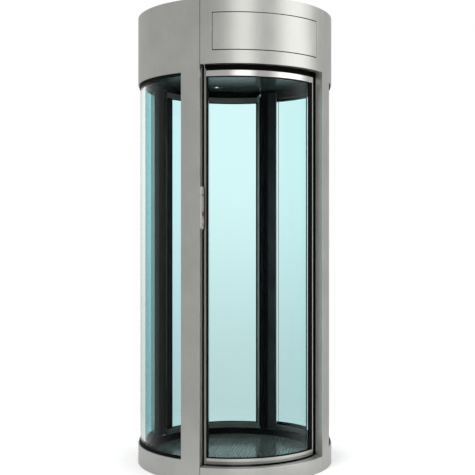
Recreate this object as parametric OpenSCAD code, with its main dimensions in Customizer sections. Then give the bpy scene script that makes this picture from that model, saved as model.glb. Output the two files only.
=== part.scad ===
// Cylindrical security vestibule: a free-standing interlock booth with two curved
// sliding doors facing each other, two fixed side glasses, four flush posts, a drum
// header with the door gear in it and a low plinth with the floor inside.
// The booth stands on z = 0 round the origin; the front door faces -Y.
// Angles are counted from the middle of the front, positive towards +X.

/* [Booth] */
// Outer diameter of the cylinder
booth_d = 1000; // [900:10:1300]
// Height from the ground to the top rim
booth_h = 2280; // [2150:10:2600]
// Clear width between the jambs of a doorway, straight across at the outside
opening_w = 640; // [500:10:700]
// Width of a post along the outside
post_w = 100; // [70:5:140]
// Thickness of the metal sheet
sheet = 3; // [1.5:0.5:5]
// Depth of the outer wall, from the outside to the face the doors pass behind
wall_depth = 38; // [30:1:60]
// Open seam between a front or rear piece and the post next to it
seam = 2.2; // [0.5:0.1:4]

/* [Plinth and floor] */
// Height of the plinth under a door
plinth_door_h = 74; // [60:1:110]
// Height of the plinth under a side glass
plinth_side_h = 101.4; // [80:0.2:150]
// Height of the walking surface
floor_h = 46; // [30:1:58]
// Thickness of the studded mat
mat_t = 6; // [3:1:10]
// Width of the threshold strip in front of a door
threshold_w = 20; // [10:1:30]
// Thickness of the threshold strip
threshold_t = 1.5; // [1:0.5:3]

/* [Side glass] */
// Thickness of the laminated side glass
side_glass_t = 27; // [12:1:32]
// Height of the seal lip that shows outside, at the top and the bottom of the glass
seal_lip_h = 14.6; // [8:0.2:20]
// Thickness of the seal lip
seal_lip_t = 5; // [2:0.5:6]
// Thickness of the seal under the glass
seal_base_h = 5; // [2:0.5:8]
// Thickness of the seal above the glass
seal_cap_h = 2; // [1:0.5:6]

/* [Header] */
// Height of the header over a side glass
header_side_h = 344; // [250:1:450]
// Height of the header over a door
header_door_h = 311; // [220:1:420]
// Height of the inner wall of the header above its underside over a door
liner_rise = 71; // [65:1:100]
// Distance from the top rim down to the ceiling
ceiling_drop = 299; // [200:1:400]
// Thickness of the ceiling panel
ceiling_t = 4; // [2:0.5:8]
// Distance from the top rim down to the roof sheet
roof_drop = 3; // [1:1:30]
// Height of an access panel
panel_h = 179; // [100:1:220]
// Distance from the top rim down to an access panel
panel_drop = 70; // [40:1:120]
// Distance from a post to the edge of an access panel, along the outside
panel_margin = 60; // [30:1:120]
// Open groove round an access panel
panel_gap = 3.5; // [1:0.5:6]
// Width of the rebate that an access panel lies on
rebate_w = 12; // [8:1:20]

/* [Downlights] */
// Distance of a downlight from the centre of the ceiling
light_reach = 287; // [100:1:340]
// Outer diameter of the downlight ring
light_d = 68; // [50:1:100]
// Width of the downlight ring
light_rim = 5; // [3:1:10]
// Depth of the downlight can
light_h = 40; // [20:1:80]
// Diameter of the lamp in the can
lamp_d = 17; // [8:1:30]

/* [Doors] */
// Thickness of a door leaf
leaf_t = 26; // [20:1:34]
// Running clearance round the doors
run_gap = 6; // [5:0.5:10]
// Clearance under a door leaf
foot_gap = 5; // [5:0.5:10]
// Distance from the jamb to the closing edge, along the door
closing_gap = 5; // [3:1:10]
// Distance from the jamb to the trailing edge, along the door
trailing_gap = 16; // [5:1:30]
// Width of the closing stile
closing_stile_w = 10.8; // [8:0.2:40]
// Width of the seal between the closing stile and the glass
closing_seal_w = 9.8; // [4:0.2:16]
// Width of the trailing stile
trailing_stile_w = 40; // [20:1:70]
// Thickness of the door glass
door_glass_t = 12; // [8:1:16]
// Height of the bottom rail
bottom_rail_h = 30; // [20:1:80]
// Height of the top rail
top_rail_h = 28; // [20:1:60]
// Distance from the front header's underside down to the top rail
top_rail_drop = 23.3; // [18:0.1:40]
// Height of the stiffener on the top rail
stiffener_h = 10; // [5:1:12]
// Height of the hanger plates above the stiffener
hanger_h = 79; // [70:1:90]
// Width of a hanger plate along the door
hanger_w = 46; // [30:1:70]
// Thickness of a hanger plate
hanger_t = 6; // [4:1:8]
// Angle from the middle of a door to a hanger
hanger_deg = 25; // [15:1:28]
// Diameter of a roller
roller_d = 30; // [20:1:36]
// Width of a roller
roller_w = 12; // [8:1:16]
// Diameter of the roller pin
roller_pin_d = 8; // [5:1:10]
// Thickness of a guide shoe under the door
shoe_t = 5; // [3:1:8]
// Length that a guide shoe reaches below the bottom rail
shoe_h = 12; // [10:1:15]
// Clearance at the sides of a guide shoe and below it
shoe_gap = 5; // [3:0.5:6]

/* [Door track] */
// Thickness of the ring that the rollers run on
track_t = 6; // [4:1:10]
// Height of the track above the door header's underside
track_rise = 31; // [20:1:40]
// Gap between a roller and its track, or a panel and its rebate
seat_gap = 0.3; // [0.1:0.1:0.5]

/* [Call plates] */
// Width of a call plate across the jamb
plate_w = 30; // [20:1:36]
// Height of a call plate
plate_h = 203; // [120:1:300]
// Thickness of a call plate
plate_t = 9; // [5:1:12]
// Height of the middle of a call plate above the ground
plate_z = 1293; // [900:1:1500]
// Diameter of the call button
button_d = 15; // [10:1:20]
// Height that the call button stands out
button_t = 4; // [2:1:6]
// Diameter of the lens over the button
lens_d = 12; // [8:1:18]
// Distance from the middle of the plate up to the lens and down to the button
lens_offset = 30; // [20:1:60]

/* [Hidden] */
$fn = 96;
eps = 1; // overshoot of a cut past the face that it opens
lap = 1; // depth that two shapes of one piece reach into each other

// Radii, from the outside in
outer_r = booth_d / 2;
skin_r = outer_r - sheet;
wall_r = outer_r - wall_depth;
liner_r = wall_r + sheet;
glass_r = wall_r + side_glass_t;
leaf_r = wall_r - run_gap;
leaf_in_r = leaf_r - leaf_t;
leaf_mid_r = leaf_r - leaf_t / 2;
groove_r = leaf_mid_r + shoe_t / 2 + shoe_gap;
groove_in_r = leaf_mid_r - shoe_t / 2 - shoe_gap;
curb_r = leaf_in_r + 2;
ceiling_r = leaf_in_r - run_gap;
hanger_r = leaf_in_r + 1 + hanger_t;
track_r = hanger_r + run_gap;

// Angles of the pieces round the booth
function deg_at(length, r) = length / r * 180 / PI;
jamb_deg = asin(opening_w / booth_d);
glass_deg = jamb_deg + deg_at(post_w, outer_r);
return_deg = deg_at(sheet, outer_r);
piece_deg = jamb_deg - deg_at(seam, outer_r);
panel_deg = jamb_deg - deg_at(panel_margin, outer_r);
panel_gap_deg = deg_at(panel_gap, outer_r);
rebate_deg = deg_at(rebate_w, outer_r);
closing_deg = -jamb_deg + deg_at(closing_gap, leaf_r);
closing_rail_deg = closing_deg + deg_at(closing_stile_w, leaf_r);
closing_glass_deg = closing_rail_deg + deg_at(closing_seal_w, leaf_r);
trailing_deg = jamb_deg - deg_at(trailing_gap, leaf_r);
trailing_glass_deg = trailing_deg - deg_at(trailing_stile_w, leaf_r);

// Levels above the ground
header_side_z = booth_h - header_side_h;
header_door_z = booth_h - header_door_h;
liner_top_z = header_door_z + liner_rise;
ceiling_z = booth_h - ceiling_drop;
roof_z = booth_h - roof_drop - sheet;
panel_z = booth_h - panel_drop - panel_h;
seal_z = plinth_side_h + seal_base_h;
seal_top_z = header_side_z - seal_cap_h;
leaf_z = plinth_door_h + foot_gap;
leaf_glass_z = leaf_z + bottom_rail_h;
rail_top_z = header_door_z - top_rail_drop;
rail_z = rail_top_z - top_rail_h;
shoe_z = leaf_z - shoe_h;
track_z = header_door_z + track_rise;
roller_z = track_z + track_t + seat_gap + roller_d / 2;
hanger_z = rail_top_z + stiffener_h;

// A curved block between two radii, two levels and two angles round the booth
module arc_block(r_in, r_out, z_low, z_high, deg_from, deg_to) {
    rotate([0, 0, deg_from - 90])
        rotate_extrude(angle = deg_to - deg_from)
            translate([r_in, z_low]) square([r_out - r_in, z_high - z_low]);
}

// Turns its children to an angle round the booth, with X pointing outwards
module at_deg(deg) {
    rotate([0, 0, deg - 90]) children();
}

// Turns a piece of the front half to the rear half
module rear() {
    rotate([0, 0, 180]) children();
}

// Floor

module floor_pan() {
    color("dimgray") cylinder(r = curb_r - seat_gap, h = floor_h - mat_t);
}

module floor_mat() {
    color("darkslategray") translate([0, 0, floor_h - mat_t])
        cylinder(r = curb_r - seat_gap, h = mat_t);
}

// Plinth

module guide_groove(deg_from, deg_to) {
    arc_block(groove_in_r, groove_r, shoe_z - shoe_gap, plinth_door_h + eps, deg_from, deg_to);
}

module door_plinth() {
    color("silver") difference() {
        arc_block(curb_r, outer_r, 0, plinth_door_h, -piece_deg, piece_deg);
        guide_groove(-piece_deg - eps, piece_deg + eps);
    }
}

module side_plinth() {
    color("silver") difference() {
        union() {
            arc_block(wall_r, outer_r, 0, plinth_side_h, glass_deg, 180 - glass_deg);
            arc_block(curb_r, wall_r + lap, 0, plinth_door_h, glass_deg, 180 - glass_deg);
            arc_block(curb_r, wall_r, 0, plinth_door_h, jamb_deg, 180 - jamb_deg);
        }
        guide_groove(jamb_deg - eps, 180 - jamb_deg + eps);
    }
}

module threshold() {
    color("gainsboro")
        arc_block(wall_r, wall_r + threshold_w, plinth_door_h, plinth_door_h + threshold_t,
            -piece_deg, piece_deg);
}

// Posts: a rounded face flush with the cylinder and a return on each side of it

module post(deg_from, deg_to) {
    color("darkgray") {
        arc_block(skin_r, outer_r, 0, booth_h, deg_from, deg_to);
        arc_block(wall_r, skin_r + lap, 0, roof_z, deg_from, deg_from + return_deg);
        arc_block(wall_r, skin_r + lap, 0, roof_z, deg_to - return_deg, deg_to);
    }
}

module post_liner(deg_from, deg_to) {
    color("black")
        arc_block(wall_r, liner_r, plinth_door_h, liner_top_z,
            deg_from + return_deg, deg_to - return_deg);
}

// Side glass and the seals that hold its lower and upper edge

module side_glass() {
    color("paleturquoise", 0.4)
        arc_block(wall_r, glass_r, seal_z, seal_top_z, glass_deg, 180 - glass_deg);
}

module glass_seals() {
    color("black") {
        arc_block(wall_r, glass_r + seal_lip_t, plinth_side_h, seal_z,
            glass_deg, 180 - glass_deg);
        arc_block(glass_r, glass_r + seal_lip_t, seal_z - lap, plinth_side_h + seal_lip_h,
            glass_deg, 180 - glass_deg);
        arc_block(wall_r, glass_r + seal_lip_t, seal_top_z, header_side_z,
            glass_deg, 180 - glass_deg);
        arc_block(glass_r, glass_r + seal_lip_t, header_side_z - seal_lip_h, seal_top_z + lap,
            glass_deg, 180 - glass_deg);
    }
}

// Header: a curved face, an underside and a lower wall behind them

module header_segment(z_low, deg_from, deg_to) {
    arc_block(skin_r, outer_r, z_low, booth_h, deg_from, deg_to);
    arc_block(wall_r, skin_r + lap, z_low, z_low + sheet, deg_from, deg_to);
    arc_block(wall_r, liner_r, z_low, liner_top_z, deg_from, deg_to);
}

module side_header() {
    color("darkgray") header_segment(header_side_z, glass_deg, 180 - glass_deg);
}

module door_header() {
    rim_deg = panel_deg + rebate_deg;
    lip_deg = panel_deg - rebate_deg;
    color("darkgray") difference() {
        union() {
            header_segment(header_door_z, -piece_deg, piece_deg);
            arc_block(skin_r - sheet, skin_r + lap, panel_z - rebate_w, panel_z + panel_h + rebate_w,
                -rim_deg, rim_deg);
        }
        arc_block(skin_r, outer_r + eps, panel_z, panel_z + panel_h, -panel_deg, panel_deg);
        arc_block(skin_r - sheet - eps, skin_r + eps,
            panel_z + rebate_w, panel_z + panel_h - rebate_w, -lip_deg, lip_deg);
    }
}

module access_panel() {
    deg = panel_deg - panel_gap_deg;
    color("darkgray")
        arc_block(skin_r + seat_gap, outer_r, panel_z + panel_gap, panel_z + panel_h - panel_gap,
            -deg, deg);
}

module roof_panel() {
    color("dimgray") translate([0, 0, roof_z]) cylinder(r = skin_r - seat_gap, h = sheet);
}

module light_holes(r, z_low, h) {
    for (side = [-1, 1])
        translate([0, side * light_reach, z_low]) cylinder(r = r, h = h);
}

module ceiling_panel() {
    color("slategray") difference() {
        translate([0, 0, ceiling_z]) cylinder(r = ceiling_r, h = ceiling_t);
        light_holes(light_d / 2 - light_rim + seat_gap, ceiling_z - eps, ceiling_t + 2 * eps);
    }
}

// The cylinder between the ceiling and the roof that hides the door gear
module ceiling_shroud() {
    color("dimgray")
        rotate_extrude()
            translate([ceiling_r - sheet, ceiling_z + ceiling_t])
                square([sheet, roof_z - ceiling_z - ceiling_t]);
}

module downlights() {
    can_r = light_d / 2 - light_rim;
    color("white") difference() {
        union() {
            light_holes(light_d / 2, ceiling_z - sheet, sheet);
            light_holes(can_r, ceiling_z, light_h);
        }
        light_holes(can_r - sheet, ceiling_z - sheet - eps, light_h + eps);
    }
    color("white") light_holes(lamp_d / 2, ceiling_z + light_h / 2, light_h / 2);
}

// The ring that carries both doors on its upper side
module door_track() {
    color("dimgray")
        rotate_extrude()
            translate([track_r, track_z]) square([wall_r - seat_gap - track_r, track_t]);
}

// Doors, drawn closed. A positive turn about the booth's axis opens them

module door_glass() {
    color("paleturquoise", 0.4)
        arc_block(leaf_mid_r - door_glass_t / 2, leaf_mid_r + door_glass_t / 2,
            leaf_glass_z, rail_z, closing_glass_deg, trailing_glass_deg);
}

module hanger_plate(deg) {
    half = deg_at(hanger_w / 2, hanger_r);
    arc_block(hanger_r - hanger_t, hanger_r, rail_top_z, hanger_z + hanger_h,
        deg - half, deg + half);
}

module door_top_rail() {
    color("silver") {
        arc_block(leaf_in_r, leaf_r, rail_z, rail_top_z, closing_rail_deg, trailing_deg);
        arc_block(leaf_in_r, leaf_r - 2 * sheet, rail_top_z - lap, hanger_z,
            closing_rail_deg, trailing_deg);
        for (side = [-1, 1]) hanger_plate(side * hanger_deg);
    }
}

module door_bottom_rail() {
    half = deg_at(hanger_w / 2, leaf_mid_r);
    color("silver") {
        arc_block(leaf_in_r, leaf_r, leaf_z, leaf_glass_z, closing_rail_deg, trailing_deg);
        for (side = [-1, 1])
            arc_block(leaf_mid_r - shoe_t / 2, leaf_mid_r + shoe_t / 2, shoe_z, leaf_z + lap,
                side * hanger_deg - half, side * hanger_deg + half);
    }
}

// Bar over the whole height of the door, with the seal that holds the glass beside it
module door_closing_stile() {
    color("silver") {
        arc_block(leaf_in_r, leaf_r, leaf_z, hanger_z, closing_deg, closing_rail_deg);
        arc_block(leaf_in_r + lap, leaf_r - lap, leaf_glass_z, rail_z,
            closing_rail_deg - return_deg, closing_glass_deg);
    }
}

module door_trailing_stile() {
    color("dimgray")
        arc_block(leaf_in_r, leaf_r, leaf_glass_z, rail_z, trailing_glass_deg, trailing_deg);
}

// Each roller stands on its pin, which is riveted to the hanger plate
module door_rollers() {
    color("ivory")
        for (side = [-1, 1])
            at_deg(side * hanger_deg) translate([0, 0, roller_z]) rotate([0, 90, 0]) {
                translate([0, 0, track_r]) cylinder(d = roller_d, h = roller_w);
                translate([0, 0, hanger_r]) cylinder(d = roller_pin_d, h = track_r - hanger_r);
            }
}

// Slim plate with a lens and a button on the jamb at the closing side of a door
module call_plate() {
    mid_r = (wall_r + outer_r) / 2;
    color("dimgray")
        at_deg(-jamb_deg) translate([mid_r, 0, plate_z]) rotate([-90, 0, 0]) {
            for (end = [-1, 1])
                translate([0, end * (plate_h - plate_w) / 2, 0]) cylinder(d = plate_w, h = plate_t);
            translate([-plate_w / 2, -(plate_h - plate_w) / 2, 0])
                cube([plate_w, plate_h - plate_w, plate_t]);
            translate([0, lens_offset, 0]) cylinder(d = button_d, h = plate_t + button_t);
            translate([0, -lens_offset, 0]) cylinder(d = lens_d, h = plate_t + button_t / 4);
        }
}

floor_pan();
floor_mat();
door_plinth();  // plinth_front
rear() door_plinth();  // plinth_rear
side_plinth();  // plinth_right
rear() side_plinth();  // plinth_left
threshold();  // threshold_front
rear() threshold();  // threshold_rear
post(jamb_deg, glass_deg);  // post_front_right
post(180 - glass_deg, 180 - jamb_deg);  // post_rear_right
rear() post(jamb_deg, glass_deg);  // post_rear_left
rear() post(180 - glass_deg, 180 - jamb_deg);  // post_front_left
post_liner(jamb_deg, glass_deg);  // post_liner_front_right
post_liner(180 - glass_deg, 180 - jamb_deg);  // post_liner_rear_right
rear() post_liner(jamb_deg, glass_deg);  // post_liner_rear_left
rear() post_liner(180 - glass_deg, 180 - jamb_deg);  // post_liner_front_left
side_glass();  // side_glass_right
rear() side_glass();  // side_glass_left
glass_seals();  // glass_seals_right
rear() glass_seals();  // glass_seals_left
door_header();  // header_front
rear() door_header();  // header_rear
side_header();  // header_right
rear() side_header();  // header_left
access_panel();  // access_panel_front
rear() access_panel();  // access_panel_rear
roof_panel();
ceiling_panel();
ceiling_shroud();
downlights();
door_track();
call_plate();  // call_plate_front
rear() call_plate();  // call_plate_rear
door_glass();  // front_door_glass
door_top_rail();  // front_door_top_rail
door_bottom_rail();  // front_door_bottom_rail
door_closing_stile();  // front_door_closing_stile
door_trailing_stile();  // front_door_trailing_stile
door_rollers();  // front_door_rollers
rear() door_glass();  // rear_door_glass
rear() door_top_rail();  // rear_door_top_rail
rear() door_bottom_rail();  // rear_door_bottom_rail
rear() door_closing_stile();  // rear_door_closing_stile
rear() door_trailing_stile();  // rear_door_trailing_stile
rear() door_rollers();  // rear_door_rollers
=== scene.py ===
import bpy
import bmesh
import math
import random
from mathutils import Matrix, Vector


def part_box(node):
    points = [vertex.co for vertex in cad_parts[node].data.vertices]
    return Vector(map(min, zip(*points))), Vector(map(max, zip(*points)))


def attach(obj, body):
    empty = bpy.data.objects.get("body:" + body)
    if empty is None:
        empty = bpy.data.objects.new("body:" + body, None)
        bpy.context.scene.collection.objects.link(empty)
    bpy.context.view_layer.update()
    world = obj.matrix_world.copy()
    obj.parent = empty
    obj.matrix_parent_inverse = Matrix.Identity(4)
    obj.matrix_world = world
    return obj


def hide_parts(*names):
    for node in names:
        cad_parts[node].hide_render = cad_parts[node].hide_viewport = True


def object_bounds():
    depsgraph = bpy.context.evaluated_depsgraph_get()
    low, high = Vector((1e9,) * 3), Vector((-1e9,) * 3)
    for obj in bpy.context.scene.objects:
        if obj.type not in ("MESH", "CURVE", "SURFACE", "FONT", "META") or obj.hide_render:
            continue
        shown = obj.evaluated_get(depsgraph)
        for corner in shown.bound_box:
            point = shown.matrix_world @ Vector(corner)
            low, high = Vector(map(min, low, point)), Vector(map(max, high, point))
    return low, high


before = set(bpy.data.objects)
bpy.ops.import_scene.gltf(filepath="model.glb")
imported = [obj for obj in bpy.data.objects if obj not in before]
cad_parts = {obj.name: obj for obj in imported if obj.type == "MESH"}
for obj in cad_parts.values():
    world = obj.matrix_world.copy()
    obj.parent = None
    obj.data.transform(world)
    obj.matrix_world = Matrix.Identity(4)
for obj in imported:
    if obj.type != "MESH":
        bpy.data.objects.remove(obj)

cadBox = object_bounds()
mm = 0.001
zAxis = (0, 0, 1)


# ---- where things are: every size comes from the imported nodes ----

def arcOf(node):
    # radii, levels and angles of a curved node; angles run from the middle of the front towards +X
    low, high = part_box(node)
    middle = math.degrees(math.atan2(low.x + high.x, -(low.y + high.y)))
    places = [v.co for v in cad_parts[node].data.vertices]
    radii = [math.hypot(p.x, p.y) for p in places]
    turns = [(math.degrees(math.atan2(p.x, -p.y)) - middle + 180) % 360 - 180 for p in places]
    return {"rIn": min(radii), "rOut": max(radii), "zLow": low.z, "zHigh": high.z,
            "degFrom": middle + min(turns), "degTo": middle + max(turns)}


def degAt(length, radius):
    return math.degrees(length / radius)


outerR = cadBox[1].x
topZ = cadBox[1].z
post = arcOf("post_front_right")
liner = arcOf("post_liner_front_right")
sideGlass = arcOf("side_glass_right")
sidePlinth = arcOf("plinth_right")
sideHeader = arcOf("header_right")
doorHeader = arcOf("header_front")
doorPlinth = arcOf("plinth_front")
panel = arcOf("access_panel_front")
strip = arcOf("threshold_front")
sealBox = arcOf("glass_seals_right")
leaf = arcOf("front_door_bottom_rail")
topRail = arcOf("front_door_top_rail")
closingStile = arcOf("front_door_closing_stile")
trailingStile = arcOf("front_door_trailing_stile")
doorGlass = arcOf("front_door_glass")
sheet = liner["rOut"] - liner["rIn"]
wallR = liner["rIn"]
jambDeg, glassDeg = post["degFrom"], post["degTo"]
print("frame read: radius", round(outerR, 4), "height", round(topZ, 4), "jamb at", round(jambDeg, 2))


# ---- small tools for meshes ----

def spunSolid(outline, degFrom, degTo, stepDeg=2.5):
    # a closed outline of (radius, height) points, spun round the booth's axis and capped at both ends
    bm = bmesh.new()
    a = math.radians(degFrom)
    ring = [bm.verts.new((r * math.sin(a), -r * math.cos(a), z)) for r, z in outline]
    face = bm.faces.new(ring)
    full = degTo - degFrom > 359.9
    geom = face.edges[:] + ring
    if full:
        bmesh.ops.delete(bm, geom=[face], context="FACES_ONLY")
    else:
        geom.append(face)
    bmesh.ops.spin(bm, geom=geom, cent=(0, 0, 0), axis=zAxis, angle=math.radians(degTo - degFrom),
                   steps=max(2, round((degTo - degFrom) / stepDeg)), use_duplicate=False, use_merge=full)
    if full:
        bmesh.ops.remove_doubles(bm, verts=bm.verts[:], dist=1e-6)
    bmesh.ops.recalc_face_normals(bm, faces=bm.faces[:])
    return bm


def spunBar(arc, stepDeg=2.5, **changed):
    # a bar of rectangular section, from an arc of the frame with some of its values changed
    a = {**arc, **changed}
    outline = [(a["rIn"], a["zLow"]), (a["rOut"], a["zLow"]), (a["rOut"], a["zHigh"]), (a["rIn"], a["zHigh"])]
    return spunSolid(outline, a["degFrom"], a["degTo"], stepDeg)


def soften(bm, width, segments=2, minDeg=30):
    # rounds every edge that is sharper than minDeg
    edges = [e for e in bm.edges if e.is_manifold and math.degrees(e.calc_face_angle(0)) > minDeg]
    bmesh.ops.bevel(bm, geom=edges, offset=width, offset_type="OFFSET", affect="EDGES", segments=segments,
                    profile=0.5, material=-1, clamp_overlap=True)
    return bm


def turned(bm, deg):
    bmesh.ops.rotate(bm, verts=bm.verts[:], cent=(0, 0, 0), matrix=Matrix.Rotation(math.radians(deg), 3, "Z"))
    return bm


def moved(bm, offset):
    bmesh.ops.translate(bm, verts=bm.verts[:], vec=offset)
    return bm


def finishPiece(name, parts, material, body="booth", nodes=(), turn=0, sharpDeg=14):
    # joins meshes into one piece, shades it and hands it to its body
    whole = bmesh.new()
    for part in parts:
        spare = bpy.data.meshes.new("spare")
        part.to_mesh(spare)
        part.free()
        whole.from_mesh(spare)
        bpy.data.meshes.remove(spare)
    if turn:
        turned(whole, turn)
    mesh = bpy.data.meshes.new(name)
    whole.to_mesh(mesh)
    whole.free()
    mesh.shade_smooth()
    mesh.set_sharp_from_angle(angle=math.radians(sharpDeg))
    mesh.materials.append(material)
    piece = bpy.data.objects.new(name, mesh)
    bpy.context.scene.collection.objects.link(piece)
    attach(piece, body)
    if nodes:
        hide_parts(*nodes)
    return piece


# ---- materials ----

def hexColour(code):
    parts = [int(code[i:i + 2], 16) / 255 for i in (1, 3, 5)]
    return [c / 12.92 if c <= 0.04045 else ((c + 0.055) / 1.055) ** 2.4 for c in parts] + [1.0]


def addNode(tree, kind, settings=None, links=None):
    # settings go to the node's own attributes or else to its input sockets; links name a socket and its source
    node = tree.nodes.new(kind)
    for key, value in (settings or {}).items():
        if isinstance(key, str) and hasattr(node, key):
            setattr(node, key, value)
        else:
            node.inputs[key].default_value = value
    for key, source in (links or {}).items():
        tree.links.new(source, node.inputs[key])
    return node


def newMaterial(name):
    material = bpy.data.materials.new(name)
    material.use_nodes = True
    tree = material.node_tree
    shader = tree.nodes["Principled BSDF"]
    return material, tree, shader


def brushedMetal(name, look):
    # grain runs along one axis; smudges vary tint and gloss over the width of a hand
    material, tree, shader = newMaterial(name)
    where = addNode(tree, "ShaderNodeTexCoord").outputs["Object"]
    stretch = [1 / (look["grainMm"] * mm)] * 2 + [1 / (look["grainLengthMm"] * mm)]
    grainPlace = addNode(tree, "ShaderNodeMapping", {"Scale": stretch}, {"Vector": where}).outputs["Vector"]
    grain = addNode(tree, "ShaderNodeTexNoise", {"Scale": 1.0, "Detail": 3.0, "Roughness": 0.6},
                    {"Vector": grainPlace}).outputs["Fac"]
    smudge = addNode(tree, "ShaderNodeTexNoise",
                     {"Scale": 1 / (look["smudgeMm"] * mm), "Detail": 4.0, "Roughness": 0.55},
                     {"Vector": where}).outputs["Fac"]
    blend = addNode(tree, "ShaderNodeMath", {"operation": "MULTIPLY_ADD", 1: 0.5}, {0: grain})
    tree.links.new(addNode(tree, "ShaderNodeMath", {"operation": "MULTIPLY", 1: 0.5}, {0: smudge}).outputs[0],
                   blend.inputs[2])
    tint = addNode(tree, "ShaderNodeValToRGB", None, {"Fac": blend.outputs[0]})
    tint.color_ramp.elements[0].position = 0.35
    tint.color_ramp.elements[0].color = hexColour(look["dark"])
    tint.color_ramp.elements[1].position = 0.65
    tint.color_ramp.elements[1].color = hexColour(look["light"])
    tree.links.new(tint.outputs["Color"], shader.inputs["Base Color"])
    gloss = addNode(tree, "ShaderNodeMapRange",
                    {"From Min": 0.3, "From Max": 0.7, "To Min": look["smooth"], "To Max": look["rough"]},
                    {"Value": blend.outputs[0]})
    tree.links.new(gloss.outputs["Result"], shader.inputs["Roughness"])
    bump = addNode(tree, "ShaderNodeBump", {"Strength": look["bump"], "Distance": 0.02 * mm}, {"Height": grain})
    tree.links.new(bump.outputs["Normal"], shader.inputs["Normal"])
    shader.inputs["Metallic"].default_value = 1.0
    shader.inputs["Anisotropic"].default_value = look.get("anisotropic", 0.0)
    return material


def paintedMetal(name, look):
    # powder coat or lacquer: a fine orange peel and slight cloudiness
    material, tree, shader = newMaterial(name)
    where = addNode(tree, "ShaderNodeTexCoord").outputs["Object"]
    cloud = addNode(tree, "ShaderNodeTexNoise", {"Scale": 1 / (look["cloudMm"] * mm), "Detail": 3.0},
                    {"Vector": where}).outputs["Fac"]
    tint = addNode(tree, "ShaderNodeValToRGB", None, {"Fac": cloud})
    tint.color_ramp.elements[0].position = 0.3
    tint.color_ramp.elements[0].color = hexColour(look["dark"])
    tint.color_ramp.elements[1].position = 0.7
    tint.color_ramp.elements[1].color = hexColour(look["light"])
    tree.links.new(tint.outputs["Color"], shader.inputs["Base Color"])
    gloss = addNode(tree, "ShaderNodeMapRange", {"To Min": look["smooth"], "To Max": look["rough"]},
                    {"Value": cloud})
    tree.links.new(gloss.outputs["Result"], shader.inputs["Roughness"])
    peel = addNode(tree, "ShaderNodeTexNoise", {"Scale": 1 / (look["peelMm"] * mm), "Detail": 2.0},
                   {"Vector": where}).outputs["Fac"]
    bump = addNode(tree, "ShaderNodeBump", {"Strength": look["bump"], "Distance": 0.05 * mm}, {"Height": peel})
    tree.links.new(bump.outputs["Normal"], shader.inputs["Normal"])
    shader.inputs["Specular IOR Level"].default_value = look.get("specular", 0.5)
    shader.inputs["Coat Weight"].default_value = look.get("coat", 0.0)
    shader.inputs["Coat Roughness"].default_value = 0.05
    return material


def laminatedGlass(name, look):
    # clear sheets with a film between them; the colour comes from the way the light takes inside
    material, tree, shader = newMaterial(name)
    shader.inputs["Base Color"].default_value = hexColour(look["surface"])
    shader.inputs["Roughness"].default_value = 0.0
    shader.inputs["IOR"].default_value = look["bending"]
    shader.inputs["Transmission Weight"].default_value = 1.0
    shader.inputs["Specular Tint"].default_value = hexColour(look["glare"])
    body = addNode(tree, "ShaderNodeVolumeAbsorption", {"Color": hexColour(look["body"]), "Density": look["density"]})
    tree.links.new(body.outputs["Volume"], tree.nodes["Material Output"].inputs["Volume"])
    return material


# stainless steel sheet, ground satin along the height: broad soft reflections, faint upright streaks
satinStainless = brushedMetal("satinStainless", {
    "dark": "#b5b5b1", "light": "#c4c4c0", "grainMm": 0.8, "grainLengthMm": 120, "smudgeMm": 160,
    "smooth": 0.30, "rough": 0.38, "bump": 0.12})
# extruded aluminium, bright anodised: crisp bands of light along the door rails
brightAluminium = brushedMetal("brightAluminium", {
    "dark": "#c6c5c3", "light": "#d4d3d1", "grainMm": 0.6, "grainLengthMm": 4, "smudgeMm": 120,
    "smooth": 0.10, "rough": 0.15, "bump": 0.04})
# extruded aluminium, natural anodised: duller and greyer than the rails; on the doors' foot strips its darker tone is
# painted shade under the rolled-in rail
greyAluminium = brushedMetal("greyAluminium", {
    "dark": "#868785", "light": "#989997", "grainMm": 0.7, "grainLengthMm": 60, "smudgeMm": 140,
    "smooth": 0.32, "rough": 0.40, "bump": 0.08})
# extruded aluminium, darker and duller than the rails' outer faces: the inner faces of the door rails
darkAluminium = brushedMetal("darkAluminium", {
    "dark": "#75726d", "light": "#84817b", "grainMm": 0.7, "grainLengthMm": 4, "smudgeMm": 140,
    "smooth": 0.34, "rough": 0.42, "bump": 0.05})
# steel sheet, black powder coat: deep black with a soft sheen
blackPowderCoat = paintedMetal("blackPowderCoat", {
    "dark": "#040404", "light": "#090909", "cloudMm": 90, "peelMm": 1.2, "smooth": 0.45, "rough": 0.55,
    "bump": 0.04, "specular": 0.03})
# steel sheet, dark grey powder coat
greyPowderCoat = paintedMetal("greyPowderCoat", {
    "dark": "#202021", "light": "#2c2c2d", "cloudMm": 90, "peelMm": 1.2, "smooth": 0.40, "rough": 0.50,
    "bump": 0.05, "specular": 0.06})
# EPDM rubber, extruded: matt black with a little cloudiness
epdmRubber = paintedMetal("epdmRubber", {
    "dark": "#060606", "light": "#0e0e0e", "cloudMm": 25, "peelMm": 0.8, "smooth": 0.55, "rough": 0.68,
    "bump": 0.3, "specular": 0.05})
# steel sheet, dark lacquer polished out: mirrors the glass and posts below it
glossLacquer = paintedMetal("glossLacquer", {
    "dark": "#202626", "light": "#282f2e", "cloudMm": 220, "peelMm": 2.0, "smooth": 0.16, "rough": 0.22,
    "bump": 0.02, "specular": 0.3})
# natural rubber sheet with raised studs, worn to a slight gloss
studdedRubber = paintedMetal("studdedRubber", {
    "dark": "#1f211f", "light": "#3a3c38", "cloudMm": 14, "peelMm": 0.9, "smooth": 0.10, "rough": 0.22,
    "bump": 0.4, "specular": 0.5})
# polyamide, moulded: near black and waxy
moulded = paintedMetal("mouldedPolyamide", {
    "dark": "#141414", "light": "#1c1c1c", "cloudMm": 20, "peelMm": 0.8, "smooth": 0.40, "rough": 0.50,
    "bump": 0.1})
# toughened glass with one film, for the doors
doorPane = laminatedGlass("laminatedDoorGlass", {
    "surface": "#ffffff", "body": "#70f2f3", "density": 20.0, "glare": "#303030", "bending": 1.52})
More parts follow.
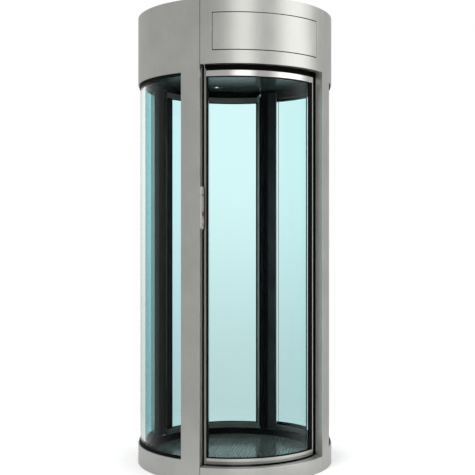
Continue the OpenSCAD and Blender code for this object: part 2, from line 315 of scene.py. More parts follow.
# thick laminate for the fixed sides: nearly clear outside, with the colour in a polycarbonate sheet inside
sidePane = laminatedGlass("laminatedSideGlass", {
    "surface": "#ffffff", "body": "#70f2f3", "density": 1.5, "glare": "#202020", "bending": 1.2})
sideFilm = laminatedGlass("tintedPolycarbonateSheet", {
    "surface": "#ffffff", "body": "#78e2e5", "density": 84.0, "glare": "#202020", "bending": 1.0})

lampGlow, lampTree, lampShader = newMaterial("warmLamp")  # frosted lamp cover
lampShader.inputs["Base Color"].default_value = hexColour("#f4f1ea")
lampShader.inputs["Emission Color"].default_value = hexColour("#fff6e6")
lampShader.inputs["Emission Strength"].default_value = 1.2
print("materials made")


# ---- cladding: sheet steel, folded inwards round its openings ----

claddingShape = {"foldRadius": 1.6 * mm, "foldSegments": 3, "rimLip": 14 * mm, "stepDeg": 2.2}


def spunSheet(levels, degStops):
    # an upright line of points swept from stop to stop, so that its grid has an edge at every stop
    bm = bmesh.new()
    a = math.radians(degStops[0])
    line = [bm.verts.new((outerR * math.sin(a), -outerR * math.cos(a), z)) for z in levels]
    last = line + [bm.edges.new(pair) for pair in zip(line, line[1:])]
    for degFrom, degTo in zip(degStops, degStops[1:]):
        steps = max(1, round((degTo - degFrom) / claddingShape["stepDeg"]))
        last = bmesh.ops.spin(bm, geom=last, cent=(0, 0, 0), axis=zAxis, angle=math.radians(degTo - degFrom),
                              steps=steps, use_duplicate=False)["geom_last"]
    return bm


def cutOpening(bm, zLow, zHigh, degFrom, degTo):
    def inside(f):
        c = f.calc_center_median()
        deg = math.degrees(math.atan2(c.x, -c.y))
        return zLow < c.z < zHigh and degFrom < deg < degTo
    bmesh.ops.delete(bm, geom=[f for f in bm.faces if inside(f)], context="FACES")


def foldIn(bm, edges, radius):
    made = bmesh.ops.extrude_edge_only(bm, edges=edges)["geom"]
    verts = [g for g in made if isinstance(g, bmesh.types.BMVert)]
    share = radius / outerR
    bmesh.ops.scale(bm, vec=(share, share, 1), verts=verts)


def thicken(bm):
    # rounds the folds, then gives the sheet its thickness inwards
    bmesh.ops.recalc_face_normals(bm, faces=bm.faces[:])
    outward = sum(f.normal.dot(Vector((f.calc_center_median().x, f.calc_center_median().y, 0)).normalized())
                  * f.calc_area() for f in bm.faces)
    if outward < 0:
        bmesh.ops.reverse_faces(bm, faces=bm.faces[:])
    soften(bm, claddingShape["foldRadius"], claddingShape["foldSegments"])
    bmesh.ops.solidify(bm, geom=bm.faces[:], thickness=sheet * 0.66)
    return bm


def atLevel(edge, z):
    return all(abs(v.co.z - z) < 1e-5 for v in edge.verts)


def openEdges(bm, closedLevels):
    return [e for e in bm.edges if e.is_boundary and not any(atLevel(e, z) for z in closedLevels)]


def sideShell():
    windowLow, windowHigh = sidePlinth["zHigh"], sideHeader["zLow"]
    bm = spunSheet([0, windowLow, windowHigh, topZ], [jambDeg, glassDeg, 180 - glassDeg, 180 - jambDeg])
    cutOpening(bm, windowLow, windowHigh, glassDeg, 180 - glassDeg)
    foldIn(bm, openEdges(bm, [0, topZ]), wallR)
    rims = [e for e in bm.edges if e.is_boundary and (atLevel(e, 0) or atLevel(e, topZ))
            and all(abs(math.hypot(v.co.x, v.co.y) - outerR) < 1e-5 for v in e.verts)]
    foldIn(bm, rims, outerR - claddingShape["rimLip"])
    return thicken(bm)


def headerShell():
    gap = degAt(3.5 * mm, outerR)
    low, high = panel["zLow"] - 3.5 * mm, panel["zHigh"] + 3.5 * mm
    openDeg = panel["degTo"] + gap
    bm = spunSheet([doorHeader["zLow"], low, high, topZ], [doorHeader["degFrom"], -openDeg, openDeg, doorHeader["degTo"]])
    cutOpening(bm, low, high, -openDeg, openDeg)
    opening = [e for e in openEdges(bm, [topZ]) if all(low - 1e-4 < v.co.z < high + 1e-4
               and abs(math.degrees(math.atan2(v.co.x, -v.co.y))) < openDeg + 0.01 for v in e.verts)]
    outside = [e for e in openEdges(bm, [topZ]) if e not in opening]
    rims = [e for e in bm.edges if e.is_boundary and atLevel(e, topZ)]
    foldIn(bm, outside, wallR)
    foldIn(bm, opening, outerR - 8 * mm)
    foldIn(bm, rims, outerR - claddingShape["rimLip"])
    return thicken(bm)


def plinthShell():
    bm = spunSheet([0, doorPlinth["zHigh"]], [doorPlinth["degFrom"], doorPlinth["degTo"]])
    foldIn(bm, openEdges(bm, [0]), wallR)
    return thicken(bm)


sideNodes = {"right": ("post_front_right", "post_rear_right", "header_right", "plinth_right"),
             "left": ("post_rear_left", "post_front_left", "header_left", "plinth_left")}
for side, turn in (("right", 0), ("left", 180)):
    finishPiece("cladding_" + side, [sideShell()], satinStainless, nodes=sideNodes[side], turn=turn)
for end, turn in (("front", 0), ("rear", 180)):
    finishPiece("header_face_" + end, [headerShell()], satinStainless,
                nodes=["header_" + end], turn=turn)
    finishPiece("plinth_face_" + end, [plinthShell()], satinStainless,
                nodes=["plinth_" + end], turn=turn)
    finishPiece("access_panel_" + end + "_face", [soften(spunBar(panel), 0.7 * mm)], satinStainless,
                nodes=["access_panel_" + end], turn=turn)
    behind = spunBar(panel, rIn=outerR - 12 * mm, rOut=outerR - 9 * mm, zLow=panel["zLow"] - 12 * mm,
                     zHigh=panel["zHigh"] + 12 * mm, degFrom=panel["degFrom"] - 2, degTo=panel["degTo"] + 2)
    finishPiece("panel_rebate_" + end, [behind], blackPowderCoat, turn=turn)
    finishPiece("threshold_strip_" + end, [soften(spunBar(strip), 0.5 * mm)], satinStainless,
                nodes=["threshold_" + end], turn=turn)
print("cladding folded")


# ---- inner ring, header lining and post covers ----

liningShape = {"jambSealWidth": 35 * mm, "jambSealProud": 0.5 * mm, "ribWidth": 3 * mm, "ribProud": 3.5 * mm,
               "edge": 0.8 * mm}
stopShape = {"reach": 22 * mm, "width": 22 * mm, "edge": 2 * mm}
shoeZ = leaf["zLow"]
grooveZ = shoeZ - 5 * mm
leafInR, leafR = closingStile["rIn"], closingStile["rOut"]
leafMidR = (leafInR + leafR) / 2
grooveHalf = 7.5 * mm
curbR = doorPlinth["rIn"]
curbZ = doorPlinth["zHigh"]

innerRing = spunSolid([(curbR, 0), (wallR, 0), (wallR, curbZ), (leafMidR + grooveHalf, curbZ),
                       (leafMidR + grooveHalf, grooveZ), (leafMidR - grooveHalf, grooveZ),
                       (leafMidR - grooveHalf, curbZ), (curbR, curbZ)], 0, 360)
finishPiece("inner_ring", [soften(innerRing, liningShape["edge"])], blackPowderCoat)

liningTop = doorHeader["zLow"] + 71 * mm
lining = [spunBar(liner, zLow=doorHeader["zLow"], zHigh=liningTop, degFrom=0, degTo=360)]
for turn in (0, 180):
    lining.append(turned(spunBar(liner, zLow=sideHeader["zLow"], zHigh=doorHeader["zLow"],
                                 degFrom=glassDeg, degTo=180 - glassDeg), turn))
finishPiece("header_lining", lining, blackPowderCoat)


def postCovers(mirrored):
    # black seal profile beside the doorway, dark grey cover beside the glass; mirrored for the other hand
    low, high = liner["degFrom"], liner["degTo"]
    split = low + degAt(liningShape["jambSealWidth"], wallR)
    seal = soften(spunBar(liner, degFrom=low, degTo=split, rIn=wallR - liningShape["jambSealProud"],
                          zHigh=doorHeader["zLow"]), liningShape["edge"])
    ribs = []
    for share in (0.3, 0.7):
        at = low + (split - low) * share
        half = degAt(liningShape["ribWidth"] / 2, wallR)
        ribs.append(spunBar(liner, degFrom=at - half, degTo=at + half, zLow=shoeZ, zHigh=topRail["zLow"] + 0.4,
                            rIn=wallR - liningShape["ribProud"], rOut=wallR, stepDeg=1))
        for v in ribs[-1].verts:
            v.co.z = min(v.co.z, doorHeader["zLow"] - 8 * mm)
    cover = soften(spunBar(liner, degFrom=split, degTo=high, zHigh=doorHeader["zLow"]), liningShape["edge"])
    for bm in [seal, cover] + ribs:
        if mirrored:
            bmesh.ops.scale(bm, vec=(1, -1, 1), verts=bm.verts[:])
            bmesh.ops.reverse_faces(bm, faces=bm.faces[:])
    return seal, cover, ribs


for place, mirrored, turn in (("front_right", False, 0), ("rear_right", True, 0),
                              ("rear_left", False, 180), ("front_left", True, 180)):
    seal, cover, ribs = postCovers(mirrored)
    finishPiece("jamb_seal_" + place, [seal], blackPowderCoat, turn=turn)
    finishPiece("seal_ribs_" + place, ribs, epdmRubber, turn=turn)
    finishPiece("post_cover_" + place, [cover], greyPowderCoat,
                nodes=["post_liner_" + place], turn=turn)

for place, turn in (("front_left", 0), ("rear_right", 180)):
    stop = [spunBar(liner, rIn=wallR - stopShape["reach"], rOut=wallR + 0.5 * mm, zLow=shoeZ + 6 * mm,
                    zHigh=doorHeader["zLow"] + 26 * mm, degFrom=-jambDeg - degAt(stopShape["width"], wallR),
                    degTo=-jambDeg, stepDeg=0.6)]
    finishPiece("closing_stop_" + place, [soften(b, stopShape["edge"], 3) for b in stop], epdmRubber,
                turn=turn)
print("lining fitted")


# ---- fixed side glass and its seals ----

sealShape = {"edge": 1.2 * mm}
sideShape = {"film": 3 * mm, "gap": 0.1 * mm}
for side, turn in (("right", 0), ("left", 180)):
    splitR = sideGlass["rIn"] + sideShape["film"]
    pane = finishPiece("side_pane_" + side, [soften(spunBar(sideGlass, rIn=splitR + sideShape["gap"], stepDeg=1), 1.0 * mm)],
                       sidePane, nodes=["side_glass_" + side], turn=turn)
    film = finishPiece("side_film_" + side, [spunBar(sideGlass, rOut=splitR, stepDeg=1)], sideFilm,
                       turn=turn)
    pane.visible_shadow = False
    film.visible_shadow = False
    lipLow, lipHigh = sealBox["zLow"] + 14.6 * mm, sealBox["zHigh"] - 14.6 * mm
    lower = spunSolid([(wallR, sealBox["zLow"]), (sealBox["rOut"], sealBox["zLow"]), (sealBox["rOut"], lipLow),
                       (sideGlass["rOut"], lipLow), (sideGlass["rOut"], sideGlass["zLow"]),
                       (wallR, sideGlass["zLow"])], glassDeg, 180 - glassDeg)
    upper = spunSolid([(wallR, sealBox["zHigh"]), (sealBox["rOut"], sealBox["zHigh"]), (sealBox["rOut"], lipHigh),
                       (sideGlass["rOut"], lipHigh), (sideGlass["rOut"], sideGlass["zHigh"]),
                       (wallR, sideGlass["zHigh"])], glassDeg, 180 - glassDeg)
    finishPiece("glass_seal_" + side, [soften(lower, sealShape["edge"]), soften(upper, sealShape["edge"])],
                epdmRubber, nodes=["glass_seals_" + side], turn=turn)
print("side glass set")


# ---- floor ----

matShape = {"border": 14 * mm, "pitch": 19 * mm, "studRadius": 7.0 * mm, "studHeight": 1.6 * mm, "sides": 12,
            "wander": 0.13, "seed": 11}
matLow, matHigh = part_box("floor_mat")
matR = matHigh.x
matTop = matHigh.z - matShape["studHeight"]
matBody = soften(spunSolid([(0.02, matLow.z), (matR, matLow.z), (matR, matTop), (0.02, matTop)], 0, 360, 3), 0.8 * mm)
for level in (matLow.z, matTop):
    hole = [e for e in matBody.edges if atLevel(e, level) and all(math.hypot(v.co.x, v.co.y) < 0.0205 for v in e.verts)]
    wall = [f for f in matBody.faces if all(math.hypot(v.co.x, v.co.y) < 0.0205 for v in f.verts)]
    if wall:
        bmesh.ops.delete(matBody, geom=wall, context="FACES_ONLY")
bmesh.ops.holes_fill(matBody, edges=[e for e in matBody.edges if e.is_boundary], sides=0)
bmesh.ops.recalc_face_normals(matBody, faces=matBody.faces[:])

stud = bmesh.new()
bmesh.ops.create_cone(stud, cap_ends=True, segments=matShape["sides"], radius1=matShape["studRadius"],
                      radius2=matShape["studRadius"] * 0.72, depth=matShape["studHeight"])
studMesh = bpy.data.meshes.new("stud")
stud.to_mesh(studMesh)
stud.free()
studs = bmesh.new()
chance = random.Random(matShape["seed"])
rowPitch = matShape["pitch"] * math.sqrt(3) / 2
rows = int(matR / rowPitch)
for row in range(-rows, rows + 1):
    y = row * rowPitch
    shift = 0.5 * (row % 2)
    reach = matR - matShape["border"] - matShape["studRadius"]
    for column in range(-rows, rows + 1):
        x = (column + shift) * matShape["pitch"]
        wander = matShape["wander"] * matShape["pitch"]
        x, y2 = x + chance.uniform(-wander, wander), y + chance.uniform(-wander, wander)
        size = chance.uniform(0.55, 1.0)
        if math.hypot(x, y2) > reach:
            continue
        before = len(studs.verts)
        studs.from_mesh(studMesh)
        studs.verts.ensure_lookup_table()
        bmesh.ops.scale(studs, verts=studs.verts[before:], vec=(size, size, 1))
        bmesh.ops.translate(studs, verts=studs.verts[before:], vec=(x, y2, matTop + matShape["studHeight"] / 2))
bpy.data.meshes.remove(studMesh)
finishPiece("studded_mat", [matBody, studs], studdedRubber, nodes=["floor_mat"])
print("floor laid")


# ---- ceiling lights ----

lightShape = {"ringWidth": 9 * mm, "lip": 2 * mm, "reflectorDepth": -1.5 * mm, "lampRadius": 9 * mm}
lightLow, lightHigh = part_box("downlights")
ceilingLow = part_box("ceiling_panel")[0].z
lightR = (lightHigh.x - lightLow.x) / 2
lightY = lightHigh.y - lightR
for end, sign in (("front", -1), ("rear", 1)):
    at = (0, sign * lightY, 0)
    inner = lightR - lightShape["ringWidth"]
    lipZ = lightLow.z
    lampZ = ceilingLow + lightShape["reflectorDepth"]
    trim = spunSolid([(lightR, ceilingLow), (lightR, lipZ + 1 * mm), (lightR - 1.5 * mm, lipZ), (inner, lipZ),
                      (lightShape["lampRadius"], lampZ), (lightShape["lampRadius"] + 2 * mm, lampZ),
                      (inner + 2 * mm, ceilingLow)], 0, 360, 8)
    finishPiece("downlight_" + end, [moved(trim, at)], greyPowderCoat,
                nodes=["downlights"] if end == "front" else (), sharpDeg=40)
    lamp = bmesh.new()
    bmesh.ops.create_cone(lamp, cap_ends=True, segments=40, radius1=lightShape["lampRadius"],
                          radius2=lightShape["lampRadius"], depth=4 * mm)
    finishPiece("lamp_" + end, [moved(lamp, (0, sign * lightY, lampZ + 1.6 * mm))], lampGlow, sharpDeg=40)
print("lights fitted")


# ---- doors ----

doorShape = {"edge": 1.6 * mm, "closingSeal": 0.6 * mm, "glassSeal": 4 * mm, "trailingBright": 8 * mm,
             "stiffener": 10 * mm, "hangerDeg": 25, "hangerWidth": 46 * mm, "hangerThick": 6 * mm,
             "faceDepth": 12 * mm, "brushHeight": 22 * mm, "bladeDeg": 4.2, "bead": 4 * mm}
footInR = leafInR + 9 * mm
footShape = {"stripHeight": 12 * mm}
railFrom = closingStile["degFrom"] + degAt(10.8 * mm, leafR)
railTopZ = topRail["zLow"] + 28 * mm
stileTopZ = closingStile["zHigh"]
railLowZ = closingStile["zLow"]
brightFrom = trailingStile["degTo"] - degAt(doorShape["trailingBright"], leafR)
leafArc = {"rIn": leafInR, "rOut": leafR, "zLow": railLowZ, "zHigh": doorGlass["zLow"],
           "degFrom": railFrom, "degTo": trailingStile["degTo"]}


def bottomRail():
    # upright face above, rolled in below
    z, h = railLowZ + footShape["stripHeight"], leafArc["zHigh"] - railLowZ - footShape["stripHeight"]
    outline = [(footInR, z), (leafR - 3 * mm, z), (leafR - 1.2 * mm, z + 0.08 * h), (leafR - 0.3 * mm, z + 0.22 * h),
               (leafR, z + 0.4 * h), (leafR, z + h), (footInR, z + h)]
    return soften(spunSolid(outline, railFrom, leafArc["degTo"], 1.5), 1.2 * mm, minDeg=50)


def footStrip():
    z, h = railLowZ, footShape["stripHeight"]
    outline = [(footInR, z), (leafR - 6 * mm, z), (leafR - 3 * mm, z + 0.12 * h), (leafR - 1.6 * mm, z + 0.3 * h),
               (leafR - 1.2 * mm, z + h), (footInR, z + h)]
    return soften(spunSolid(outline, railFrom, leafArc["degTo"], 1.5), 0.6 * mm, minDeg=50)


def hangers():
    parts = [spunBar(leafArc, zLow=railTopZ, zHigh=stileTopZ, rOut=leafR - 6 * mm)]
    half = degAt(doorShape["hangerWidth"] / 2, leafInR)
    for sign in (-1, 1):
        at = sign * doorShape["hangerDeg"]
        parts.append(soften(spunBar(leafArc, zLow=stileTopZ, zHigh=topRail["zHigh"], rIn=leafInR + 1 * mm,
                                    rOut=leafInR + 1 * mm + doorShape["hangerThick"], degFrom=at - half,
                                    degTo=at + half), 0.8 * mm))
    return parts


def guides():
    half = degAt(doorShape["hangerWidth"] / 2, leafMidR)
    return [soften(spunBar(leafArc, rIn=leafMidR - 2.5 * mm, rOut=leafMidR + 2.5 * mm, zLow=leaf["zLow"],
                           zHigh=railLowZ, degFrom=s * doorShape["hangerDeg"] - half,
                           degTo=s * doorShape["hangerDeg"] + half), 0.8 * mm) for s in (-1, 1)]


for end, turn in (("front", 0), ("rear", 180)):
    door = end + "_door"
    soft = doorShape["edge"]
    pane = finishPiece(door + "_pane", [soften(spunBar(doorGlass, stepDeg=1), 0.8 * mm)], doorPane,
                       door, [door + "_glass"], turn)
    pane.visible_shadow = False
    faceR = leafR - doorShape["faceDepth"]
    rail = spunBar(leafArc, zLow=topRail["zLow"], zHigh=railTopZ, rIn=faceR, stepDeg=1.5)
    finishPiece(door + "_head_rail", [soften(rail, soft, 3)], brightAluminium, door,
                [door + "_top_rail"], turn)
    carrier = spunBar(leafArc, zLow=topRail["zLow"] + 0.4 * mm, zHigh=railTopZ, rOut=faceR, stepDeg=1.5)
    finishPiece(door + "_head_carrier", [soften(carrier, 1 * mm)], darkAluminium,
                door, (), turn)
    finishPiece(door + "_hangers", hangers(), blackPowderCoat, door, (), turn)
    brush = spunBar(leafArc, zLow=stileTopZ, zHigh=stileTopZ + doorShape["brushHeight"], rIn=leafMidR - 3 * mm,
                    rOut=leafMidR + 1 * mm, degFrom=closingStile["degFrom"],
                    degTo=trailingStile["degTo"] + doorShape["bladeDeg"])
    finishPiece(door + "_brush", [brush], epdmRubber, door, (), turn)
    finishPiece(door + "_foot_rail", [bottomRail()], satinStainless, door,
                [door + "_bottom_rail"], turn)
    # lower band of the foot rail in the darker grey aluminium: painted shade where the rail rolls under
    finishPiece(door + "_foot_strip", [footStrip()], greyAluminium, door, (), turn)
    footCover = spunBar(leafArc, zLow=railLowZ, rOut=footInR, stepDeg=1.5)
    finishPiece(door + "_foot_cover", [soften(footCover, 1.2 * mm)], darkAluminium, door, (), turn)
    finishPiece(door + "_guides", guides(), moulded, door, (), turn)
    stile = spunBar(leafArc, zLow=railLowZ, zHigh=stileTopZ, degFrom=closingStile["degFrom"], degTo=railFrom, stepDeg=0.7)
    finishPiece(door + "_closing_bar", [soften(stile, soft, 3)], greyAluminium, door,
                [door + "_closing_stile"], turn)
    lip = spunBar(leafArc, rIn=leafMidR - 5 * mm, rOut=leafMidR + 5 * mm, zLow=railLowZ + 4 * mm,
                  zHigh=stileTopZ - 4 * mm, degFrom=closingStile["degFrom"] - degAt(4 * mm, leafR),
                  degTo=closingStile["degFrom"] + degAt(0.2 * mm, leafR), stepDeg=0.3)
    finishPiece(door + "_closing_lip", [soften(lip, 1.5 * mm, 3)], epdmRubber, door, (), turn)
    blade = spunBar(leafArc, rIn=leafR - 5 * mm, rOut=leafR - 1 * mm, zLow=railLowZ + 2 * mm,
                    zHigh=stileTopZ + doorShape["brushHeight"], degFrom=trailingStile["degTo"] - 0.3,
                    degTo=trailingStile["degTo"] + doorShape["bladeDeg"], stepDeg=0.8)
    finishPiece(door + "_trailing_blade", [soften(blade, 1 * mm)], epdmRubber, door, (), turn)
    trailing = spunBar(leafArc, rIn=faceR, zLow=doorGlass["zLow"], zHigh=doorGlass["zHigh"], degFrom=brightFrom,
                       stepDeg=0.7)
    finishPiece(door + "_trailing_edge", [soften(trailing, soft, 3)], brightAluminium, door,
                [door + "_trailing_stile"], turn)
    bead = {"degFrom": railFrom, "degTo": brightFrom, "rIn": leafInR + 3 * mm, "rOut": leafR - 2 * mm, "stepDeg": 1.5}
    beads = [spunBar(leafArc, **bead, zLow=doorGlass["zLow"] - 1 * mm, zHigh=doorGlass["zLow"] + doorShape["bead"]),
             spunBar(leafArc, **bead, zLow=doorGlass["zHigh"] - doorShape["bead"], zHigh=doorGlass["zHigh"] + 1 * mm)]
    finishPiece(door + "_glass_beads", [soften(b, 0.8 * mm) for b in beads], epdmRubber, door, (), turn)
    web = [spunBar(leafArc, rIn=leafInR + 1 * mm, rOut=leafR - 1 * mm, zLow=doorGlass["zLow"],
                   zHigh=doorGlass["zHigh"], degFrom=doorGlass["degTo"], degTo=brightFrom, stepDeg=0.9),
           spunBar(leafArc, rIn=leafInR, rOut=faceR, zLow=doorGlass["zLow"],
                   zHigh=doorGlass["zHigh"], degFrom=brightFrom, stepDeg=0.9)]
    finishPiece(door + "_trailing_web", [soften(w, 1.0 * mm) for w in web], blackPowderCoat, door, (),
                turn)
    gasket = [spunBar(leafArc, rIn=leafInR + 1.5 * mm, rOut=leafR - 1.5 * mm, zLow=doorGlass["zLow"],
                      zHigh=doorGlass["zHigh"], degFrom=railFrom, degTo=doorGlass["degFrom"], stepDeg=0.7)]
    finishPiece(door + "_glass_gasket", [soften(g, 1.2 * mm) for g in gasket], epdmRubber, door, (), turn)
print("doors hung")


# ---- call plates ----

plateShape = {"edge": 1.2 * mm, "buttonRadius": 12 * mm, "lensRadius": 12 * mm, "screwRadius": 2.6 * mm}


def onJamb(bm, height):
    # from a plate drawn flat in X and Z, thick along +Y, to its place on the left jamb
    bmesh.ops.translate(bm, verts=bm.verts[:], vec=((wallR + outerR) / 2, 0, height))
    return turned(bm, -90 - jambDeg)


plateLow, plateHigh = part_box("call_plate_front")
plateHeight = plateHigh.z - plateLow.z
plateMid = (plateHigh.z + plateLow.z) / 2
plateWidth = 30 * mm
plateThick = 9 * mm


def roundPlate(width, height, thick, edge):
    bm = bmesh.new()
    bmesh.ops.create_cube(bm, size=1)
    bmesh.ops.scale(bm, vec=(width, thick, height), verts=bm.verts[:])
    bmesh.ops.translate(bm, verts=bm.verts[:], vec=(0, thick / 2, 0))
    corners = [e for e in bm.edges if abs(e.verts[0].co.y - e.verts[1].co.y) > thick / 2]
    bmesh.ops.bevel(bm, geom=corners, offset=width / 2 - 0.1 * mm, affect="EDGES", segments=10, profile=0.5, material=-1)
    return soften(bm, edge)


def stubby(radius, depth, z, segments=24, edge=0.6 * mm):
    bm = bmesh.new()
    bmesh.ops.create_cone(bm, cap_ends=True, segments=segments, radius1=radius, radius2=radius, depth=depth)
    bmesh.ops.rotate(bm, verts=bm.verts[:], cent=(0, 0, 0), matrix=Matrix.Rotation(math.radians(90), 3, "X"))
    bmesh.ops.translate(bm, verts=bm.verts[:], vec=(0, depth / 2 + plateThick - 0.5 * mm, z))
    return soften(bm, edge)


# zinc casting, light grey lacquer
plateLacquer = paintedMetal("plateLacquer", {
    "dark": "#8b8b85", "light": "#999993", "cloudMm": 30, "peelMm": 1.0, "smooth": 0.34, "rough": 0.44, "bump": 0.1})
# acrylic, moulded: deep red window over the signal lamp
redLens = paintedMetal("tintedAcrylic", {
    "dark": "#5a2d2b", "light": "#6b3835", "cloudMm": 8, "peelMm": 1.0, "smooth": 0.12, "rough": 0.18, "bump": 0.02,
    "coat": 0.4})
# polycarbonate, moulded: dull pink push button
pinkButton = paintedMetal("mouldedPolycarbonate", {
    "dark": "#96807d", "light": "#a08a87", "cloudMm": 12, "peelMm": 1.0, "smooth": 0.34, "rough": 0.42, "bump": 0.05})
for end, turn in (("front", 0), ("rear", 180)):
    plate = roundPlate(plateWidth, plateHeight, plateThick, plateShape["edge"])
    finishPiece("call_plate_" + end + "_body", [onJamb(plate, plateMid)], plateLacquer,
                nodes=["call_plate_" + end], turn=turn)
    button = stubby(plateShape["buttonRadius"], 4 * mm, -66 * mm)
    finishPiece("call_button_" + end, [onJamb(button, plateMid)], pinkButton, turn=turn, sharpDeg=25)
    lens = stubby(plateShape["lensRadius"], 3 * mm, -28 * mm)
    finishPiece("call_lens_" + end, [onJamb(lens, plateMid)], redLens, turn=turn, sharpDeg=25)
    # a thin black strip on the plate's face stands for the shade inside a notch: painted shade
    notchShade = bmesh.new()
    bmesh.ops.create_cube(notchShade, size=1)
    bmesh.ops.scale(notchShade, verts=notchShade.verts[:], vec=(plateWidth - 6 * mm, 1.2 * mm, 4 * mm))
    moved(notchShade, (0, plateThick, 61 * mm))
    finishPiece("call_notch_shade_" + end, [onJamb(notchShade, plateMid)], blackPowderCoat, turn=turn)
    screws = [onJamb(stubby(plateShape["screwRadius"], 1.4 * mm, s * 84 * mm, 12, 0.3 * mm), plateMid) for s in (-1, 1)]
    finishPiece("call_screws_" + end, screws, brightAluminium, turn=turn, sharpDeg=25)
print("call plates mounted")


# ---- carried-over nodes ----

kept = {"floor_pan": greyPowderCoat, "roof_panel": greyPowderCoat, "ceiling_panel": glossLacquer,
        "ceiling_shroud": blackPowderCoat, "door_track": blackPowderCoat,
        "front_door_rollers": moulded, "rear_door_rollers": moulded}
for node, material in kept.items():
    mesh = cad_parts[node].data
    mesh.materials.clear()
    mesh.materials.append(material)
print("kept nodes finished")


# ---- stage ----

cameraPlace = {"turnDeg": -20.4, "distance": 4.811, "height": 1.1475, "lens": 70.0, "shiftX": 0.0057, "shiftY": 0.0029}
lens = bpy.data.cameras.new("camera")
lens.lens = cameraPlace["lens"]
lens.sensor_width = 36
lens.shift_x = cameraPlace["shiftX"]
lens.shift_y = cameraPlace["shiftY"]
camera = bpy.data.objects.new("camera", lens)
bpy.context.scene.collection.objects.link(camera)
turn = math.radians(cameraPlace["turnDeg"])
camera.location = (cameraPlace["distance"] * math.sin(turn), -cameraPlace["distance"] * math.cos(turn),
                   cameraPlace["height"])
camera.rotation_euler = (math.radians(90), 0, turn)
bpy.context.scene.camera = camera

ground = bmesh.new()
bmesh.ops.create_circle(ground, cap_ends=True, segments=96, radius=30)
groundMesh = bpy.data.meshes.new("studio_floor")
ground.to_mesh(groundMesh)
ground.free()
groundPiece = bpy.data.objects.new("studio_floor", groundMesh)
groundPiece.location.z = -0.2 * mm
bpy.context.scene.collection.objects.link(groundPiece)
floorPaint, floorTree, floorShader = newMaterial("studioFloor")  # white paper that fades into the backdrop
floorShader.inputs["Roughness"].default_value = 0.9
floorShader.inputs["Specular IOR Level"].default_value = 0.1
# in glossy rays the floor's colour drops from 0.92 to 0.66: painted shade in what the metal mirrors, darkening the
# lower posts and plinth
reflectedFloorShade = addNode(floorTree, "ShaderNodeMapRange", {"To Min": 0.92, "To Max": 0.66},
                    {"Value": addNode(floorTree, "ShaderNodeLightPath").outputs["Is Glossy Ray"]})
floorTree.links.new(reflectedFloorShade.outputs["Result"], floorShader.inputs["Base Color"])
where = addNode(floorTree, "ShaderNodeTexCoord").outputs["Object"]
reach = addNode(floorTree, "ShaderNodeVectorMath", {"operation": "LENGTH"}, {0: where}).outputs["Value"]
fade = addNode(floorTree, "ShaderNodeMapRange",
               {"interpolation_type": "SMOOTHSTEP", "From Min": 0.55, "From Max": 1.6}, {"Value": reach})
clear = addNode(floorTree, "ShaderNodeBsdfTransparent")
mix = addNode(floorTree, "ShaderNodeMixShader", None,
              {0: fade.outputs["Result"], 1: floorShader.outputs[0], 2: clear.outputs[0]})
floorTree.links.new(mix.outputs[0], floorTree.nodes["Material Output"].inputs["Surface"])
groundMesh.materials.append(floorPaint)

# white backdrop for what is seen directly, dimmer low down behind glass; soft boxes round the booth to mirror
world = bpy.data.worlds.new("studio")
bpy.context.scene.world = world
world.use_nodes = True
sky = world.node_tree
sky.nodes.clear()


def softBox(box, degrees):
    # a tall box of light at one side of the booth, full in its middle and fading to its edges
    away = addNode(sky, "ShaderNodeMath", {"operation": "SUBTRACT", 1: box["turnDeg"]}, {0: degrees}).outputs[0]
    away = addNode(sky, "ShaderNodeMath", {"operation": "ABSOLUTE"}, {0: away}).outputs[0]
    return addNode(sky, "ShaderNodeMapRange",
                   {"interpolation_type": "SMOOTHSTEP", "From Min": box["reachDeg"], "From Max": box["fullDeg"],
                    "To Max": box["light"]}, {"Value": away}).outputs["Result"]


# angles run from the middle of the front towards +X; the room is what lies between the boxes
studio = {"room": 0.6, "backdropLow": 0.7, "backdropHigh": 1.0, "fadeFrom": -0.2, "fadeTo": 0.1}
softBoxes = [{"turnDeg": -10, "fullDeg": 5, "reachDeg": 20, "light": 1.2},
             {"turnDeg": 55, "fullDeg": 10, "reachDeg": 35, "light": 1.3}]
rays = addNode(sky, "ShaderNodeLightPath")
direction = addNode(sky, "ShaderNodeNewGeometry").outputs["Position"]
parts = addNode(sky, "ShaderNodeSeparateXYZ", None, {0: direction})
flip = addNode(sky, "ShaderNodeMath", {"operation": "MULTIPLY", 1: -1.0}, {0: parts.outputs["Y"]})
azimuth = addNode(sky, "ShaderNodeMath", {"operation": "ARCTAN2"}, {0: parts.outputs["X"], 1: flip.outputs[0]})
degrees = addNode(sky, "ShaderNodeMath", {"operation": "MULTIPLY", 1: math.degrees(1)}, {0: azimuth.outputs[0]})
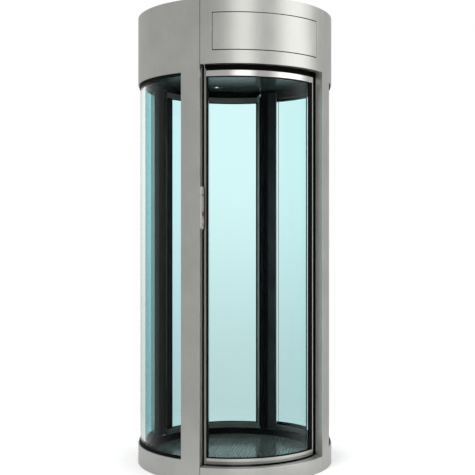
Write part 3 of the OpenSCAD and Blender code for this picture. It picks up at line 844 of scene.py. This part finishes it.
glow = addNode(sky, "ShaderNodeMath", {"operation": "ADD", 1: studio["room"]},
               {0: softBox(softBoxes[0], degrees.outputs[0])})
glow = addNode(sky, "ShaderNodeMath", {"operation": "ADD"},
               {0: glow.outputs[0], 1: softBox(softBoxes[1], degrees.outputs[0])})
white = (1, 1, 1, 1)
mirrored = addNode(sky, "ShaderNodeBackground", {"Color": white}, {"Strength": glow.outputs[0]})
plain = addNode(sky, "ShaderNodeBackground", {"Color": white, "Strength": 1.0})
rise = addNode(sky, "ShaderNodeMapRange",
               {"interpolation_type": "SMOOTHSTEP", "From Min": studio["fadeFrom"], "From Max": studio["fadeTo"],
                "To Min": studio["backdropLow"], "To Max": studio["backdropHigh"]}, {"Value": parts.outputs["Z"]})
through = addNode(sky, "ShaderNodeBackground", {"Color": white}, {"Strength": rise.outputs["Result"]})
straight = addNode(sky, "ShaderNodeMixShader", None,
                   {0: rays.outputs["Is Transmission Ray"], 1: plain.outputs[0], 2: through.outputs[0]})
bounced = addNode(sky, "ShaderNodeMath", {"operation": "SUBTRACT", "use_clamp": True},
                  {0: rays.outputs["Is Glossy Ray"], 1: rays.outputs["Is Transmission Ray"]})
seen = addNode(sky, "ShaderNodeMixShader", None,
               {0: bounced.outputs[0], 1: straight.outputs[0], 2: mirrored.outputs[0]})
output = addNode(sky, "ShaderNodeOutputWorld", None, {"Surface": seen.outputs[0]})

lightPlaces = {"key": {"at": (-2.6, -2.6, 3.6), "size": 2.0, "watts": 100},
               "fill": {"at": (2.8, -1.2, 3.2), "size": 2.0, "watts": 30}}
for name, place in lightPlaces.items():
    data = bpy.data.lights.new(name, "AREA")
    data.size = place["size"]
    data.energy = place["watts"]
    light = bpy.data.objects.new(name, data)
    light.location = place["at"]
    light.rotation_euler = (Vector((0, 0, 1.0)) - light.location).to_track_quat("-Z", "Y").to_euler()
    light.visible_glossy = False
    light.visible_camera = False
    light.visible_transmission = False
    bpy.context.scene.collection.objects.link(light)
bpy.context.scene.view_settings.view_transform = "Standard"
print("stage lit")
